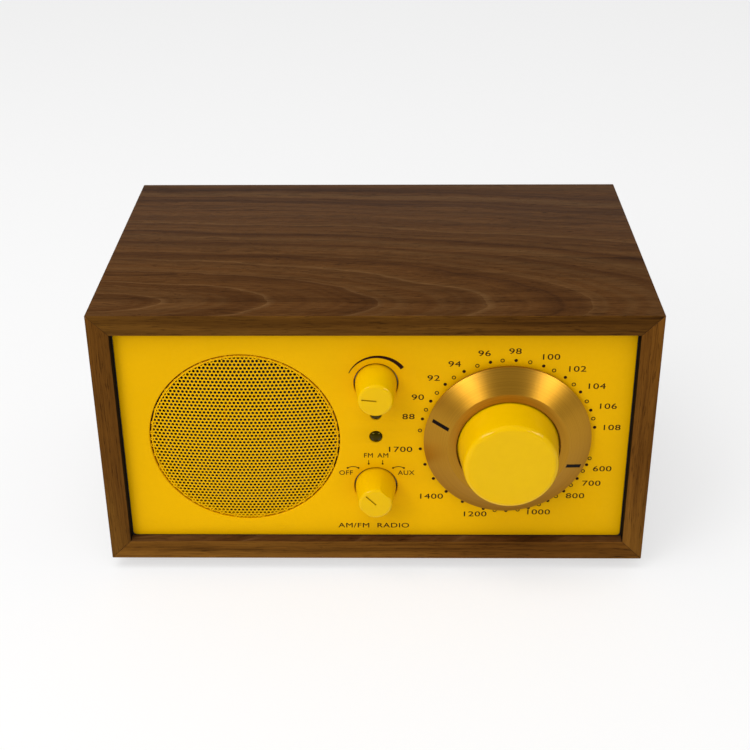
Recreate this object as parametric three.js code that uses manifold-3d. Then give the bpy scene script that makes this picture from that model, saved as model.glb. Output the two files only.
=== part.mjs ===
// Tabletop radio: a mitred wooden cabinet with a recessed metal face, a geared tuning dial, two small
// knobs, a loudspeaker behind a round grille, and its sockets on a moulded back.
// Millimetres. X to the right seen from the front, Y from the front to the back, Z up. The origin is at
// the middle of the bounding box, on the surface that the feet stand on.
import * as THREE from "three";
import { mergeVertices } from "three/addons/utils/BufferGeometryUtils.js";
import Module from "manifold-3d";

// ---- Driving dimensions ----
const CABINET = { width: 213, height: 108.4, depth: 137, wall: 8.2 };
const FOOT_HEIGHT = 5.6;
const GAP = 0.3; // between pieces that touch
const FACE_RECESS = 4; // face panel behind the cabinet's front edge
const PANEL_THICKNESS = 3;
const CONNECTOR_REACH = 8.3; // antenna connector beyond the cabinet's back

const SPEAKER = { x: -50.6, z: 53.4, grilleRadius: 36.6 };
const DIAL = { x: 50.9, z: 54.2, radius: 32.25, crestRadius: 23.2, landRadius: 19.8, crest: 7.6, rim: 2.3 };
const TUNING_KNOB = { front: 17.6, base: 19.65, reach: 22.1, round: 2.1 };
const VOLUME = { x: 0.4, z: 78, front: 6.6, reach: 13.7, pointer: 174.4 };
const SOURCE = { x: 0.1, z: 32, front: 6.46, reach: 13.1, pointer: 135, flat: 5.65 };
const SMALL_KNOB_BASE = 8;
const SMALL_KNOB_HOLE = 8.3;
const SHAFT_RADIUS = 2.9;
const BUSHING_RADIUS = 4.5;
const LAMPS = { power: { x: 0.25, z: 54.6, radius: 2.5 }, tuning: { x: 0.3, z: 64.4, radius: 2.2 } };

// Slow-motion drive: 12, 18 and 48 teeth give 5 turns of the knob for one of the dial.
const GEAR = { module: 0.6, pressure: 25, sun: 12, planet: 18, ring: 48, slack: 0.1 };
const PLANETS = 3;
const GEARBOX = { front: 8, back: 15.6, radius: 18 };

const PORT = { x: -55, y: 80, radius: 14, outer: 16.5, top: 48 };
const PLATE = { front: 6, back: 7.2 }; // control plate, depth behind the face
const BACK = { front: 127.7, thickness: 3 }; // rear panel, depth behind the face
const BOARD = { front: 116.1, back: 117.7 }; // main board

// Sockets on the rear panel
const INLET = { x: 72, z: 26, width: 14.6, height: 8.2, depth: 14, pinSpacing: 8.6 };
const DC = { x: 40, z: 26 };
const AUX = { x: -42, z: 26 };
const PHONES = { x: -68, z: 26 };
const ANTENNA = { x: -68, z: 74 };
const SLIDER = { x: -42, z: 74, width: 6, height: 4, travel: 4 };

const RIGHT = CABINET.width / 2;
const INNER_RIGHT = RIGHT - CABINET.wall;
const INNER_TOP = CABINET.height - CABINET.wall;
const KNOB_REACH = TUNING_KNOB.reach - FACE_RECESS;
const FACE_Y = FACE_RECESS + (KNOB_REACH - CABINET.depth - CONNECTOR_REACH) / 2;
const CABINET_FRONT = -FACE_RECESS;
const CABINET_BACK = CABINET.depth - FACE_RECESS;

// ---- Finishes: colour, roughness, metalness ----
const FINISHES = {
  walnut: [0x5c3e25, 0.45, 0],
  yellowPaint: [0xe6b000, 0.35, 0],
  yellowPlastic: [0xe8be00, 0.15, 0],
  brass: [0xc8973a, 0.3, 1],
  smokedPlastic: [0x2c2a18, 0.1, 0],
  blackPlastic: [0x1a1a1b, 0.5, 0],
  blackRubber: [0x151515, 0.8, 0],
  steel: [0xb5b8bb, 0.35, 1],
  darkSteel: [0x4a4c4f, 0.5, 1],
  nickel: [0xc9c6be, 0.25, 1],
  ferrite: [0x2b2b2d, 0.6, 0],
  paperCone: [0x1d1c1b, 0.9, 0],
  cloth: [0xb58a4a, 0.9, 0],
  copper: [0xb0622e, 0.35, 1],
  circuitBoard: [0x1f5a34, 0.45, 0],
  aluminium: [0xc3c6c8, 0.4, 1],
};

const wasm = await Module();
wasm.setup();

// The radio's own group: x from the middle, y as depth behind the face, z as height above the underside.
const radio = new THREE.Group();
radio.position.set(0, FACE_Y, FOOT_HEIGHT);

// ---- Helpers ----
function add(name, geometry, finish, place = { x: 0, z: 0 }) {
  const [color, roughness, metalness] = FINISHES[finish];
  const mesh = new THREE.Mesh(geometry, new THREE.MeshStandardMaterial({ color, roughness, metalness }));
  mesh.name = name;
  mesh.position.set(place.x, place.y ?? 0, place.z);
  radio.add(mesh);
}

function toSolid(geometry) {
  const bare = geometry.clone();
  bare.deleteAttribute("normal");
  bare.deleteAttribute("uv");
  const merged = mergeVertices(bare, 1e-4);
  const vertProperties = merged.attributes.position.array;
  return new wasm.Manifold(new wasm.Mesh({ numProp: 3, vertProperties, triVerts: merged.index.array }));
}

function toGeometry(solid) {
  const mesh = solid.getMesh();
  const geometry = new THREE.BufferGeometry();
  geometry.setAttribute("position", new THREE.BufferAttribute(mesh.vertProperties, 3));
  geometry.setIndex(new THREE.BufferAttribute(mesh.triVerts, 1));
  geometry.computeVertexNormals();
  return geometry;
}

function join(...geometries) {
  const solids = geometries.map(toSolid);
  return toGeometry(solids.reduce((whole, part) => whole.add(part)));
}

function cut(geometry, ...tools) {
  return toGeometry(tools.map(toSolid).reduce((whole, tool) => whole.subtract(tool), toSolid(geometry)));
}

// A turned piece about the Y axis. The profile is (radius, depth), from the front to the back.
function turned(profile, sides = 32) {
  return new THREE.LatheGeometry(profile.map(([r, y]) => new THREE.Vector2(r, y)), sides);
}

function rod(radius, front, back, sides = 20) {
  return turned([[0, front], [radius, front], [radius, back], [0, back]], sides);
}

function ring(inner, outer, front, back, sides = 32) {
  return turned([[inner, front], [outer, front], [outer, back], [inner, back], [inner, front]], sides);
}

// A turned piece that stands upright: profile (radius, height).
function upright(profile, sides) {
  return turned(profile, sides).rotateX(Math.PI / 2);
}

function block(left, right, front, back, low, high) {
  const box = new THREE.BoxGeometry(right - left, back - front, high - low);
  return box.translate((left + right) / 2, (front + back) / 2, (low + high) / 2);
}

function outline(points) {
  return new THREE.Shape(points.map(([x, z]) => new THREE.Vector2(x, z)));
}

function circlePath(radius, x = 0, z = 0, sides = 32) {
  const points = [];
  for (let i = 0; i < sides; i++) {
    const angle = (i / sides) * 2 * Math.PI;
    points.push(new THREE.Vector2(x + radius * Math.cos(angle), z + radius * Math.sin(angle)));
  }
  return new THREE.Path(points);
}

function rectangle(left, right, low, high) {
  return outline([[left, low], [right, low], [right, high], [left, high]]);
}

function roundedRectangle(left, right, low, high, radius, Kind = THREE.Shape) {
  const shape = new Kind();
  shape.moveTo(left + radius, low);
  shape.lineTo(right - radius, low);
  shape.absarc(right - radius, low + radius, radius, -Math.PI / 2, 0);
  shape.lineTo(right, high - radius);
  shape.absarc(right - radius, high - radius, radius, 0, Math.PI / 2);
  shape.lineTo(left + radius, high);
  shape.absarc(left + radius, high - radius, radius, Math.PI / 2, Math.PI);
  shape.lineTo(left, low + radius);
  shape.absarc(left + radius, low + radius, radius, Math.PI, 1.5 * Math.PI);
  shape.closePath();
  return shape;
}

// A plate with its outline in X and Z, from one depth to another.
function plate(shape, front, back) {
  const extrusion = new THREE.ExtrudeGeometry(shape, {
    depth: back - front,
    bevelEnabled: false,
    curveSegments: 3,
  });
  return extrusion.rotateX(Math.PI / 2).translate(0, back, 0);
}

// ---- Cabinet ----
function mitredBoard(name, corners) {
  add(name, plate(outline(corners), CABINET_FRONT, CABINET_BACK), "walnut");
}

function makeCabinet() {
  const shift = (GAP / 2) * Math.SQRT2; // each mitre face stands back by half the gap
  const top = CABINET.height;
  const wall = CABINET.wall;
  mitredBoard("cabinet_top", [
    [-RIGHT + shift, top], [-INNER_RIGHT + shift, INNER_TOP],
    [INNER_RIGHT - shift, INNER_TOP], [RIGHT - shift, top],
  ]);
  mitredBoard("cabinet_left", [
    [-RIGHT, shift], [-INNER_RIGHT, wall + shift], [-INNER_RIGHT, INNER_TOP - shift], [-RIGHT, top - shift],
  ]);
  mitredBoard("cabinet_right", [
    [RIGHT, shift], [RIGHT, top - shift], [INNER_RIGHT, INNER_TOP - shift], [INNER_RIGHT, wall + shift],
  ]);
  const bottom = outline([
    [-RIGHT + shift, 0], [RIGHT - shift, 0], [INNER_RIGHT - shift, wall], [-INNER_RIGHT + shift, wall],
  ]);
  const board = plate(bottom, CABINET_FRONT, CABINET_BACK);
  const radius = PORT.outer + 0.4;
  const bore = upright([[0, -1], [radius, -1], [radius, wall + 1], [0, wall + 1]]);
  add("cabinet_bottom", cut(board, bore.translate(PORT.x, PORT.y, 0)), "walnut");
}

function makeFeet() {
  const inset = 17;
  const profile = [[0, -FOOT_HEIGHT], [8, -FOOT_HEIGHT], [8.6, -FOOT_HEIGHT + 0.6], [9.2, -GAP], [0, -GAP]];
  for (const [row, y] of [["front", CABINET_FRONT + inset], ["rear", CABINET_BACK - inset]]) {
    for (const [side, x] of [["left", -RIGHT + inset], ["right", RIGHT - inset]]) {
      add(`foot_${row}_${side}`, upright(profile, 16), "blackRubber", { x, y, z: 0 });
    }
  }
}

function makeBassPort() {
  const bottom = -1.5;
  const profile = [
    [PORT.radius + 2.5, bottom], [20, bottom + 0.6], [20, -GAP], [PORT.outer, -GAP], [PORT.outer, PORT.top],
    [PORT.radius, PORT.top], [PORT.radius, bottom + 2.5], [PORT.radius + 2.5, bottom],
  ];
  add("bass_port", upright(profile, 24), "blackPlastic", { x: PORT.x, y: PORT.y, z: 0 });
}

// ---- Front ----
function makeFacePanel() {
  const shape = roundedRectangle(-97.9, 97.9, 8.6, 99.2, 1.5);
  shape.holes.push(circlePath(SPEAKER.grilleRadius + 0.4, SPEAKER.x, SPEAKER.z, 40));
  shape.holes.push(circlePath(8.2, DIAL.x, DIAL.z, 24));
  shape.holes.push(circlePath(SMALL_KNOB_HOLE, VOLUME.x, VOLUME.z));
  shape.holes.push(circlePath(SMALL_KNOB_HOLE, SOURCE.x, SOURCE.z));
  for (const lamp of Object.values(LAMPS)) {
    shape.holes.push(circlePath(lamp.radius + GAP, lamp.x, lamp.z, 16));
  }
  add("face_panel", plate(shape, 0, PANEL_THICKNESS), "yellowPaint");
}

function makeGrille() {
  const outer = SPEAKER.grilleRadius;
  const inner = outer - 0.8;
  const profile = [[0, 0.2], [outer - 0.4, 0.2], [outer, 0.6], [outer, 3], [inner, 3], [inner, 1], [0, 1]];
  add("speaker_grille", turned(profile, 40), "yellowPaint", SPEAKER);
}

function makeLamps() {
  for (const [name, lamp] of Object.entries(LAMPS)) {
    const r = lamp.radius;
    const profile = [[0, -1.6], [0.5 * r, -1.35], [0.87 * r, -0.7], [r, 0.2], [r, 5], [0, 5]];
    add(`${name}_lamp`, turned(profile, 16), "smokedPlastic", lamp);
  }
}

function makeDialRing() {
  const { radius, crestRadius, landRadius, crest, rim } = DIAL;
  const profile = [
    [5.3, -3], [20.4, -3], [20.4, -crest + 1.2], [landRadius, -crest + 0.1], [crestRadius, -crest],
    [radius, -rim], [radius - 0.5, -0.5], [radius - 1.6, -0.5], [crestRadius, -crest + 2.4],
    [21.6, -crest + 2.4], [21.4, -1.9], [7.5, -1.9], [7.5, 2.5], [5.3, 2.5], [5.3, -3],
  ];
  add("dial_ring", turned(profile, 40), "brass", DIAL);
}

// The engraved line runs along +X from just past the middle almost to the rim, before it is turned.
function engraving({ front, reach, pointer }) {
  const groove = block(-0.35, front - 0.9, -reach - 1, -reach + 0.4, -0.25, 0.25);
  return groove.rotateY(-THREE.MathUtils.degToRad(pointer));
}

// A slanting cut that is deepest at the knob's front and runs out at its base.
function slantingFlat(side) {
  const tilt = Math.atan((SMALL_KNOB_BASE + 0.1 - SOURCE.flat) / SOURCE.reach);
  const tool = block(-12, 12, -3, 18, 0, 6).rotateX(tilt).translate(0, -SOURCE.reach, SOURCE.flat);
  return tool.rotateY(side * Math.PI - THREE.MathUtils.degToRad(SOURCE.pointer));
}

function smallKnob({ front, reach }) {
  const base = SMALL_KNOB_BASE;
  const bore = SHAFT_RADIUS + GAP;
  return turned([
    [0, -reach], [front - 1, -reach], [front - 0.3, -reach + 0.3], [front, -reach + 1], [base, -0.2], [base, 1],
    [bore, 1], [bore, -reach + 2.7], [0, -reach + 2.7],
  ], 28);
}

function makeSmallKnobs() {
  add("volume_knob", cut(smallKnob(VOLUME), engraving(VOLUME)), "yellowPlastic", VOLUME);
  const source = cut(smallKnob(SOURCE), engraving(SOURCE), slantingFlat(0), slantingFlat(1));
  add("source_knob", source, "yellowPlastic", SOURCE);
}

function makeTuningKnob() {
  const { front, base, reach, round } = TUNING_KNOB;
  const bore = SHAFT_RADIUS + GAP;
  const profile = [
    [0, -reach], [front - round, -reach], [front - 0.3 * round, -reach + 0.3 * round],
    [front, -reach + round], [base, -4.2],
    [base - 0.4, -3.8], [bore, -3.8], [bore, -reach + 4], [0, -reach + 4],
  ];
  add("tuning_knob", turned(profile, 40), "yellowPlastic", DIAL);
}

// ---- Slow-motion tuning drive ----
const PRESSURE = THREE.MathUtils.degToRad(GEAR.pressure);
const ORBIT = ((GEAR.sun + GEAR.planet) * GEAR.module) / 2;

function involute(angle) {
  return Math.tan(angle) - angle;
}

// Half the angle that a tooth of an external gear fills at a radius.
function halfTooth(teeth, radius, slack) {
  const pitch = (teeth * GEAR.module) / 2;
  const base = pitch * Math.cos(PRESSURE);
  const here = Math.acos(Math.min(1, base / radius));
  return Math.PI / (2 * teeth) + involute(PRESSURE) - involute(here) - slack / (2 * pitch);
}

// Closed outline of a gear with its first tooth on +X. An internal gear's spaces have the same shape as
// the teeth of an external one, so its outline is that of a slightly fat gear turned by half a pitch.
function gearPoints(teeth, internal) {
  const pitch = (teeth * GEAR.module) / 2;
  const addendum = 0.8 * GEAR.module;
  const dedendum = 1.1 * GEAR.module;
  const low = pitch - (internal ? addendum : dedendum);
  const high = pitch + (internal ? dedendum : addendum);
  const flank = internal ? [low, high] : [low, pitch, high];
  const slack = internal ? -GEAR.slack : GEAR.slack;
  const points = [];
  for (let tooth = 0; tooth < teeth; tooth++) {
    const middle = ((tooth + (internal ? 0.5 : 0)) / teeth) * 2 * Math.PI;
    const rising = flank.map((radius) => [-1, radius]);
    const falling = flank.map((radius) => [1, radius]).reverse();
    for (const [side, radius] of [...rising, ...falling]) {
      const angle = middle + side * halfTooth(teeth, radius, slack);
      points.push(new THREE.Vector2(radius * Math.cos(angle), radius * Math.sin(angle)));
    }
  }
  return points;
}

function gearWheel(teeth, bore, front, back) {
  const shape = new THREE.Shape(gearPoints(teeth, false));
  shape.holes.push(circlePath(bore, 0, 0, 16));
  return plate(shape, front, back);
}

function makeGears() {
  add("sun_gear", gearWheel(GEAR.sun, 2, 9.4, 12.4), "brass", DIAL);
  for (let i = 0; i < PLANETS; i++) {
    const angle = (i / PLANETS) * 2 * Math.PI;
    // Half a tooth on from the sun's tooth, and turned with its place on the carrier.
    const wheel = gearWheel(GEAR.planet, 1.7, 9.4, 12.4).rotateY(-angle - Math.PI / GEAR.planet);
    const place = { x: DIAL.x + ORBIT * Math.cos(angle), z: DIAL.z + ORBIT * Math.sin(angle) };
    add(`planet_gear_${i + 1}`, wheel, "brass", place);
  }
  const shape = new THREE.Shape();
  shape.setFromPoints(circlePath(GEARBOX.radius, 0, 0, 32).getPoints());
  shape.holes.push(new THREE.Path(gearPoints(GEAR.ring, true)));
  const toothed = plate(shape, GEARBOX.front, GEARBOX.back - 1);
  const wall = ring(2.3, GEARBOX.radius, GEARBOX.back - 1.4, GEARBOX.back, 32);
  add("ring_gear", join(toothed, wall), "blackPlastic", DIAL);
}

function makeCarrier() {
  const tube = turned([
    [SHAFT_RADIUS + GAP, -2.6], [5, -2.6], [5, 8], [11.5, 8], [11.5, 9.1], [SHAFT_RADIUS + GAP, 9.1],
    [SHAFT_RADIUS + GAP, -2.6],
  ], 24);
  const rear = turned([[0, 12.8], [11.5, 12.8], [11.5, 13.8], [2, 13.8], [2, 24], [0, 24]], 24);
  const pins = [];
  for (let i = 0; i < PLANETS; i++) {
    const angle = (i / PLANETS) * 2 * Math.PI;
    pins.push(rod(1.5, 8.6, 13.2, 12).translate(ORBIT * Math.cos(angle), 0, ORBIT * Math.sin(angle)));
  }
  add("planet_carrier", join(tube, rear, ...pins), "steel", DIAL);
}

function makeTuningDrive() {
  const r = SHAFT_RADIUS;
  const back = 12.5;
  const shank = 1.75;
  const front = -TUNING_KNOB.reach + 4.4;
  const spindle = [[0, front], [r, front], [r, 9], [shank, 9], [shank, back], [0, back]];
  add("tuning_spindle", turned(spindle, 20), "steel", DIAL);
  makeGears();
  makeCarrier();
  const can = block(-10, 10, 16, 28.6, -10, 10);
  add("tuning_capacitor", cut(can, rod(2.3, 15, 24.4)), "nickel", DIAL);
}

// ---- Controls behind the small knobs ----
function makeControl(names, place, bodyRadius, bodyBack, knobReach) {
  const bore = SHAFT_RADIUS + GAP;
  const end = bodyBack - 2.5;
  const body = turned([
    [bore, 3.6], [BUSHING_RADIUS, 3.6], [BUSHING_RADIUS, 7.5], [bodyRadius, 7.5], [bodyRadius, bodyBack],
    [0, bodyBack], [0, end + GAP], [bore, end + GAP], [bore, 3.6],
  ], 24);
  add(names.body, body, "nickel", place);
  add(names.shaft, rod(SHAFT_RADIUS, -knobReach + 3.1, end), "steel", place);
  const hexagon = new THREE.Shape(circlePath(7.3, 0, 0, 6).getPoints());
  hexagon.holes.push(circlePath(BUSHING_RADIUS + GAP, 0, 0, 24));
  add(names.nut, plate(hexagon, 4.2, 5.7), "nickel", place);
}

function makeControls() {
  const plateShape = roundedRectangle(-10.4, 92, 14, 94, 3);
  plateShape.holes.push(circlePath(7, DIAL.x, DIAL.z, 24));
  plateShape.holes.push(circlePath(BUSHING_RADIUS + GAP, VOLUME.x, VOLUME.z, 24));
  plateShape.holes.push(circlePath(BUSHING_RADIUS + GAP, SOURCE.x, SOURCE.z, 24));
  add("control_plate", plate(plateShape, PLATE.front, PLATE.back), "steel");
  const volume = { body: "volume_potentiometer", shaft: "volume_shaft", nut: "volume_nut" };
  makeControl(volume, VOLUME, 8, 17.5, VOLUME.reach);
  const source = { body: "source_switch", shaft: "source_shaft", nut: "source_nut" };
  makeControl(source, SOURCE, 10, 20, SOURCE.reach);
}

// ---- Loudspeaker ----
function makeBasket() {
  const shell = turned([
    [34.4, 4.6], [38.6, 4.6], [38.6, 5.8], [35.4, 5.8], [34.4, 14.4], [22, 21.5], [22, 24], [10.8, 24],
    [10.8, 22.8], [20.8, 22.8], [20.8, 20.8], [33.4, 13.6], [34.4, 4.6],
  ], 24);
  const windows = [0, 1, 2, 3].map((i) => {
    const window = block(23, 40, 8, 19.5, -11, 11);
    return window.rotateY((i + 0.5) * (Math.PI / 2));
  });
  add("speaker_basket", cut(shell, ...windows), "darkSteel", SPEAKER);
}

function makeMotor() {
  add("speaker_top_plate", ring(10.8, 23, 24.3, 28.3, 24), "steel", SPEAKER);
  add("speaker_magnet", ring(14, 28, 28.6, 40.6, 28), "ferrite", SPEAKER);
  const yoke = [[0, 24.3], [9.1, 24.3], [9.1, 40.9], [23, 40.9], [23, 44.9], [0, 44.9]];
  add("speaker_yoke", turned(yoke, 24), "steel", SPEAKER);
  add("voice_coil", ring(9.5, 10.2, 17.6, 30.5, 24), "copper", SPEAKER);
}

function makeCone() {
  const cone = [[11.1, 17.3], [10.5, 17.3], [26.9, 6.2], [28, 6.2], [28, 6.6], [27.2, 6.8], [11.1, 17.3]];
  add("speaker_cone", turned(cone, 24), "paperCone", SPEAKER);
  const cap = [[0, 12.6], [5, 13.4], [8.6, 15.6], [9.3, 16.9], [8.7, 16.9], [4.7, 14], [0, 13.2]];
  add("dust_cap", turned(cap, 20), "paperCone", SPEAKER);
  const roll = [];
  const steps = 4;
  for (const [radius, order] of [[2.6, 1], [2.1, -1]]) {
    for (let i = 0; i <= steps; i++) {
      const angle = (order > 0 ? i / steps : 1 - i / steps) * Math.PI;
      roll.push([31 - radius * Math.cos(angle), 6.4 - radius * Math.sin(angle)]);
    }
  }
  add("speaker_surround", turned([...roll, roll[0]], 24), "blackRubber", SPEAKER);
  const wave = [10.6, 12.8, 15, 17.2, 19.4].map((r, i) => [r, i % 2 ? 19.4 : 20.2]);
  const behind = wave.map(([r, y]) => [r, y + 0.5]).reverse();
  add("speaker_spider", turned([...wave, ...behind, wave[0]], 20), "cloth", SPEAKER);
  add("speaker_gasket", ring(34.7, 38.6, 3.3, 4.3, 28), "blackRubber", SPEAKER);
}

// ---- Electronics ----
function makeTransformer() {
  const core = block(50, 92, 66, 88, 8.6, 44);
  const windowLeft = block(57, 64, 60, 95, 15, 37.5);
  const windowRight = block(78, 85, 60, 95, 15, 37.5);
  add("transformer_core", cut(core, windowLeft, windowRight), "darkSteel");
  const coil = block(57.4, 84.6, 59, 95, 15.4, 37.1);
  const hollow = block(63.6, 78.4, 65.6, 88.4, 10, 45);
  add("transformer_coil", cut(coil, hollow), "copper");
}

function makeHeatsink() {
  const fins = [block(4, 30, 112.5, 115.8, 60, 84)];
  for (let i = 0; i < 6; i++) {
    fins.push(block(4 + i * 4.88, 5.6 + i * 4.88, 98, 113, 60, 84));
  }
  add("heatsink", join(...fins), "aluminium");
}

function makeAntenna() {
  const z = 92;
  const y = 105;
  const alongX = (geometry, x) => geometry.rotateZ(-Math.PI / 2).translate(x, y, z);
  add("ferrite_rod", alongX(rod(4, -50, 50, 20), -15), "ferrite");
  add("antenna_coil", alongX(ring(4.3, 5.4, -14, 14, 24), -30), "copper");
  const arms = [-58, 22].map((x) => block(x, x + 6, y - 6.2, 115.8, z - 6, z + 6));
  const holder = join(block(-60, 30, 113.6, 115.8, z - 6, z + 6), ...arms);
  add("rod_holder", cut(holder, alongX(rod(4.3, -60, 60, 20), -15)), "blackPlastic");
}

function makeElectronics() {
  const tuner = roundedRectangle(16, 92, 16, 92, 2);
  add("tuner_board", plate(tuner, 29, 30.6), "circuitBoard");
  add("wireless_module", block(24, 40, 31, 33.6, 60, 84), "nickel");
  add("main_board", block(-92, 52, BOARD.front, BOARD.back, 14, 98), "circuitBoard");
  for (const [i, x] of [14, 30].entries()) {
    add(`filter_capacitor_${i + 1}`, rod(6.3, 90, BOARD.front - GAP, 24), "blackPlastic", { x, z: 46 });
  }
  makeHeatsink();
  makeTransformer();
  makeAntenna();
}

// ---- Back ----
function stadium(width, height, Kind) {
  return roundedRectangle(-width / 2, width / 2, -height / 2, height / 2, height / 2 - 0.01, Kind);
}

function hole(shape, place, points) {
  shape.holes.push(new THREE.Path(points.map((p) => new THREE.Vector2(p.x + place.x, p.y + place.z))));
}

function makeRearPanel() {
  const shape = roundedRectangle(-97.9, 97.9, 8.6, 99.8, 1);
  const slot = SLIDER.width + SLIDER.travel + 2 * GAP;
  hole(shape, INLET, rectangle(-9.8, 9.8, -6.6, 6.6).getPoints());
  hole(shape, SLIDER, rectangle(-slot / 2, slot / 2, -2.4, 2.4).getPoints());
  for (const socket of [DC, AUX, PHONES, ANTENNA]) {
    hole(shape, socket, circlePath(5.8, 0, 0, 20).getPoints());
  }
  add("rear_panel", plate(shape, BACK.front, BACK.front + BACK.thickness), "blackPlastic");
}

function makeInlet(back) {
  const flange = plate(roundedRectangle(-12, 12, -8.5, 8.5, 2), back, back + 1.4);
  const housing = join(block(-9.5, 9.5, 114, back + 0.7, -6.2, 6.2), flange);
  const mouth = back + 1.4;
  const cavity = plate(stadium(INLET.width, INLET.height), mouth - INLET.depth, mouth + 1);
  const pins = [-1, 1].map((side) => {
    return rod(1.2, mouth - INLET.depth - 1, mouth - 2, 16).translate((side * INLET.pinSpacing) / 2, 0, 0);
  });
  add("mains_inlet", join(cut(housing, cavity), ...pins), "blackPlastic", INLET);
}

// A round socket with a flange outside the panel and its body on the main board.
function socket(name, place, bore, finish, back) {
  const profile = [
    [0, BOARD.back + GAP], [5.4, BOARD.back + GAP], [5.4, back], [7.4, back], [7.4, back + 1.2],
    [bore, back + 1.2], [bore, back - 8], [0, back - 8],
  ];
  add(name, turned(profile, 16), finish, place);
}

function makeSockets() {
  const back = BACK.front + BACK.thickness + GAP;
  makeInlet(back);
  socket("dc_jack", DC, 2.9, "blackPlastic", back);
  socket("aux_jack", AUX, 1.75, "blackPlastic", back);
  socket("headphone_jack", PHONES, 1.75, "blackPlastic", back);
  const tip = CABINET_BACK + CONNECTOR_REACH;
  const stub = [
    [0, BOARD.back + GAP], [5.4, BOARD.back + GAP], [5.4, back], [8, back], [8, back + 1.6], [4.75, back + 1.6],
    [4.75, tip], [3.9, tip], [3.9, tip - 0.6], [1, tip - 0.6], [1, tip - 7], [0, tip - 7],
  ];
  add("antenna_connector", turned(stub, 16), "nickel", ANTENNA);
  const half = SLIDER.width / 2;
  const guide = block(-half - 3, half + 3, 125.6, BACK.front - GAP, -4, 4);
  const button = block(-half, half, 126, back + 1.3, -SLIDER.height / 2, SLIDER.height / 2);
  const rest = { x: SLIDER.x + SLIDER.travel / 2, z: SLIDER.z };
  add("antenna_switch_slider", join(guide, button), "blackPlastic", rest);
}

makeCabinet();
makeFeet();
makeBassPort();
makeFacePanel();
makeGrille();
makeLamps();
makeDialRing();
makeSmallKnobs();
makeTuningKnob();
makeTuningDrive();
makeControls();
makeBasket();
makeMotor();
makeCone();
makeElectronics();
makeRearPanel();
makeSockets();

export default radio;
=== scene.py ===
"""Tabletop radio: the looks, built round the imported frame."""
import math
from functools import partial

import bmesh
import bpy
from mathutils import Matrix, Vector


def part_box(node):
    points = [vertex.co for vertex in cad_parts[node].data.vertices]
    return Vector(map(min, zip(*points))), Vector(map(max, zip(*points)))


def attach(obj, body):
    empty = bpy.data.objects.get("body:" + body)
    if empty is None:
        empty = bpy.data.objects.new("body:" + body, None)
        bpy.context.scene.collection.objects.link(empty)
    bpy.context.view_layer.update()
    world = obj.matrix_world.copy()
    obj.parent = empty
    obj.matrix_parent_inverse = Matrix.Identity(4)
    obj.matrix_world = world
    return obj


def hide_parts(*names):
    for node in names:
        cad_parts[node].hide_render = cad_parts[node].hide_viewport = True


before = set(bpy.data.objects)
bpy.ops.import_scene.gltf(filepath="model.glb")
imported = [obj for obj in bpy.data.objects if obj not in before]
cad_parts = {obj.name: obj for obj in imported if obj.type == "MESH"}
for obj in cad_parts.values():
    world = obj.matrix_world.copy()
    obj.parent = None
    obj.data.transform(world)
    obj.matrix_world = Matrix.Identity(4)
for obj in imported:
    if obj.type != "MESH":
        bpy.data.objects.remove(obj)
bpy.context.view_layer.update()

MM = 0.001


# ---- Places taken from the frame ----
def low(node):
    return Vector(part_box(node)[0])


def high(node):
    return Vector(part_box(node)[1])


def centre(node):
    return (low(node) + high(node)) / 2


FACE_Y = low("face_panel").y
CABINET_LOW = Vector((low("cabinet_left").x, low("cabinet_bottom").y, low("cabinet_bottom").z))
CABINET_HIGH = Vector((high("cabinet_right").x, high("cabinet_bottom").y, high("cabinet_top").z))
WALL = high("cabinet_bottom").z - low("cabinet_bottom").z
REAR_Y = high("rear_panel").y


def on_face(node):
    """The point of the face panel's front that a node is centred on."""
    middle = centre(node)
    return Vector((middle.x, FACE_Y, middle.z))


def on_back(node):
    """The point of the rear panel's outside that a node is centred on."""
    middle = centre(node)
    return Vector((middle.x, REAR_Y, middle.z))


def past_back(node):
    """How far a node's inner and outer ends lie past the rear panel's outside, in mm."""
    return (low(node).y - REAR_Y) / MM, (high(node).y - REAR_Y) / MM


def radius_of(node):
    """Half the width of a round node, in mm."""
    return (high(node).x - low(node).x) / 2 / MM


def add_object(name, data):
    """A new object in the scene."""
    made = bpy.data.objects.new(name, data)
    bpy.context.scene.collection.objects.link(made)
    return made


# ---- Camera ----
LENS_MM = 65.58
SENSOR_MM = 36
CAMERA_PLACE = Vector((7.32, -450.07, 325.98))  # mm from the foot of the cabinet's front
CAMERA_TURN = (61.726, 0.376, 0.712)  # degrees


def make_camera():
    data = bpy.data.cameras.new("camera")
    data.sensor_width = SENSOR_MM
    data.lens = LENS_MM
    data.clip_start = 0.01
    camera = add_object("camera", data)
    camera.location = Vector((0, CABINET_LOW.y, CABINET_LOW.z)) + CAMERA_PLACE * MM
    camera.rotation_euler = [math.radians(angle) for angle in CAMERA_TURN]
    bpy.context.scene.camera = camera


# ---- Materials ----
def linear(code):
    """An sRGB hex colour as linear RGBA."""
    channels = [int(code[i : i + 2], 16) / 255 for i in (1, 3, 5)]
    return [c / 12.92 if c <= 0.04045 else ((c + 0.055) / 1.055) ** 2.4 for c in channels] + [1]


def put(tree, kind, inputs=None, stops=(), out=0, **settings):
    """Adds a shader node with its settings and gives one of its outputs. An input is a number, a hex
    colour or the socket that feeds it."""
    node = tree.nodes.new("ShaderNode" + kind)
    for name, value in settings.items():
        setattr(node, name, value)
    for name, value in (inputs or {}).items():
        if isinstance(value, bpy.types.NodeSocket):
            tree.links.new(value, node.inputs[name])
        else:
            node.inputs[name].default_value = linear(value) if isinstance(value, str) else value
    for index, (place, code) in enumerate(stops):
        elements = node.color_ramp.elements
        stop = elements[index] if index < 2 else elements.new(place)
        stop.position = place
        stop.color = linear(code)
    return node.outputs[out] if node.outputs else None


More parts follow.
